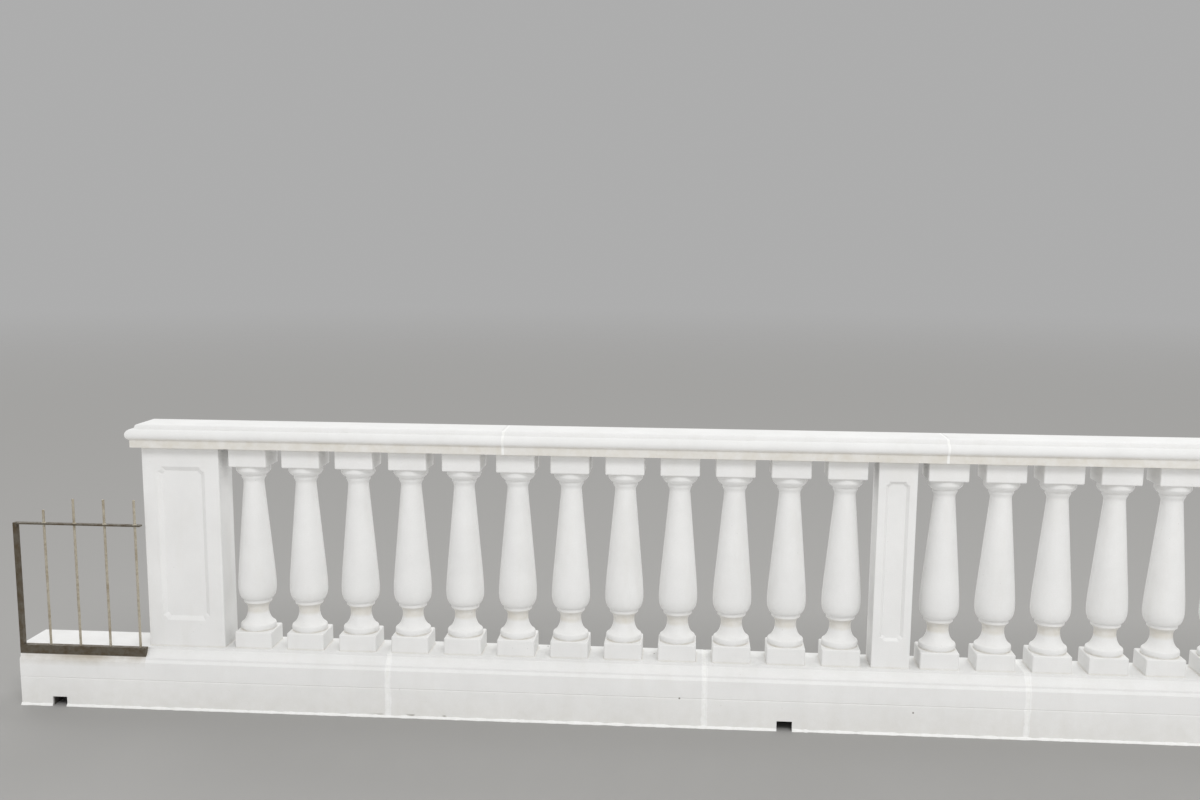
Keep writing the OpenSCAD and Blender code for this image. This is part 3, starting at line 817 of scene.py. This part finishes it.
# The photograph's camera: place in metres, turns in degrees
CAMERA_PLACE = (-0.4498, -3.995, 1.4886)
CAMERA_TURN = -4.25
CAMERA_TILT = -9.128
CAMERA_ROLL = 0.46
LENS_MM, SENSOR_MM = 38.728, 36
CAMERA_SHIFT = (0.0036, 0.0463)


def camera():
    """The camera that the photograph was taken with, as fitted to points along the edges."""
    data = bpy.data.cameras.new("photo_camera")
    data.lens = LENS_MM
    data.sensor_width = SENSOR_MM
    data.sensor_fit = "HORIZONTAL"
    data.shift_x, data.shift_y = CAMERA_SHIFT
    made = bpy.data.objects.new("photo_camera", data)
    bpy.context.scene.collection.objects.link(made)
    made.matrix_world = (Matrix.Translation(CAMERA_PLACE)
                         @ Matrix.Rotation(math.radians(-CAMERA_TURN), 4, "Z")
                         @ Matrix.Rotation(math.radians(90 + CAMERA_TILT), 4, "X")
                         @ Matrix.Rotation(math.radians(CAMERA_ROLL), 4, "Z"))
    bpy.context.scene.camera = made


def seen_directly(tree):
    """1 where a ray comes from the camera, a reflection or glass, and 0 where it carries light."""
    path = add(tree, "LightPath")
    seen = add(tree, "Math", {0: path.outputs["Is Camera Ray"], 1: path.outputs["Is Glossy Ray"]},
               operation="MAXIMUM")
    return add(tree, "Math", {0: seen, 1: path.outputs["Is Transmission Ray"]}, operation="MAXIMUM")


# Floor: its radius, and the distances between which it fades, in metres, then its colour in the
# light that it throws back, and as it is seen
FLOOR_R = 60
FADE_FROM, FADE_TO = 5.0, 30.0
FLOOR_LIT, FLOOR_SEEN = "DAD9D8", "A3A2A0"


def floor():
    """A pale floor that fades into the background, and throws light back as pale paper would."""
    bm = bmesh.new()
    bmesh.ops.create_circle(bm, cap_ends=True, segments=96, radius=FLOOR_R)
    mesh = bpy.data.meshes.new("pale_floor")
    bm.to_mesh(mesh)
    bm.free()
    made = bpy.data.objects.new("pale_floor", mesh)
    bpy.context.scene.collection.objects.link(made)
    material, tree, where = new_material("pale_floor")
    away = add(tree, "VectorMath", {0: where}, operation="LENGTH")
    far = add(tree, "MapRange", {"Value": away.outputs["Value"], "From Min": FADE_FROM,
                                 "From Max": FADE_TO}, interpolation_type="SMOOTHSTEP")
    colour = add(tree, "Mix", {"Factor": seen_directly(tree), "A": linear(FLOOR_LIT),
                               "B": linear(FLOOR_SEEN)}, data_type="RGBA")
    diffuse = add(tree, "BsdfDiffuse", {"Color": colour})
    clear = add(tree, "BsdfTransparent")
    shown = add(tree, "MixShader", {0: far, 1: diffuse, 2: clear})
    add(tree, "OutputMaterial", {"Surface": shown})
    mesh.materials.append(material)


# Brightness of the light from all round, and of the backdrop that is seen
ALL_ROUND = 0.76
BACKDROP = 0.42
# Wide lamps behind, with the way each shines and its strength, and how wide they are in degrees
BACK_LIGHTS = (("back_light_left", (0.7, -1.0, -0.9), 0.48),
               ("back_light_right", (-0.7, -1.0, -0.9), 0.56))
BACK_LIGHT_WIDTH = 35
# Softbox: its place, width and height in metres, and its watts; it faces the middle of the run
SOFTBOX_PLACE = (1.5, -6.5, 7.5)
SOFTBOX_SIZE = (5, 3)
SOFTBOX_WATTS = 330
RUN_MIDDLE = Vector((0, 0, 0.5))


def add_softbox(name, place, width, height, watts):
    """A soft rectangular lamp that faces the middle of the balustrade."""
    lamp = bpy.data.lights.new(name, "AREA")
    lamp.shape = "RECTANGLE"
    lamp.size, lamp.size_y = width, height
    lamp.energy = watts
    made = bpy.data.objects.new(name, lamp)
    made.location = place
    made.rotation_euler = (RUN_MIDDLE - Vector(place)).to_track_quat("-Z", "Y").to_euler()
    made.visible_camera = False
    bpy.context.scene.collection.objects.link(made)


def add_wide_lamp(name, way, strength):
    """A soft lamp far off that shines the given way, as evenly on the floor as on the stone."""
    lamp = bpy.data.lights.new(name, "SUN")
    lamp.energy = strength
    lamp.angle = math.radians(BACK_LIGHT_WIDTH)
    made = bpy.data.objects.new(name, lamp)
    made.rotation_euler = Vector(way).to_track_quat("-Z", "Y").to_euler()
    bpy.context.scene.collection.objects.link(made)


def light():
    """Even light from all round, a wide lamp behind on either side, and a softbox high in front."""
    world = bpy.data.worlds.new("studio")
    bpy.context.scene.world = world
    world.use_nodes = True
    tree = world.node_tree
    tree.nodes.clear()
    strength = add(tree, "MapRange", {"Value": seen_directly(tree), "To Min": ALL_ROUND,
                                      "To Max": BACKDROP})
    glow = add(tree, "Background", {"Color": (1, 1, 1, 1), "Strength": strength})
    add(tree, "OutputWorld", {"Surface": glow})
    for lamp in BACK_LIGHTS:
        add_wide_lamp(*lamp)
    add_softbox("softbox_in_front", SOFTBOX_PLACE, *SOFTBOX_SIZE, SOFTBOX_WATTS)


base_course()
rail()
balusters()
piers()
pointed_joints("base_joint_mortar", "base_joints", BASE_SIDE, "base_block", BASE_BLOCKS)
pointed_joints("rail_joint_mortar", "rail_joints", RAIL_SIDE, "rail_block", RAIL_BLOCKS)
foot_bead()
steel()
camera()
floor()
light()
bpy.context.scene.view_settings.view_transform = "Standard"
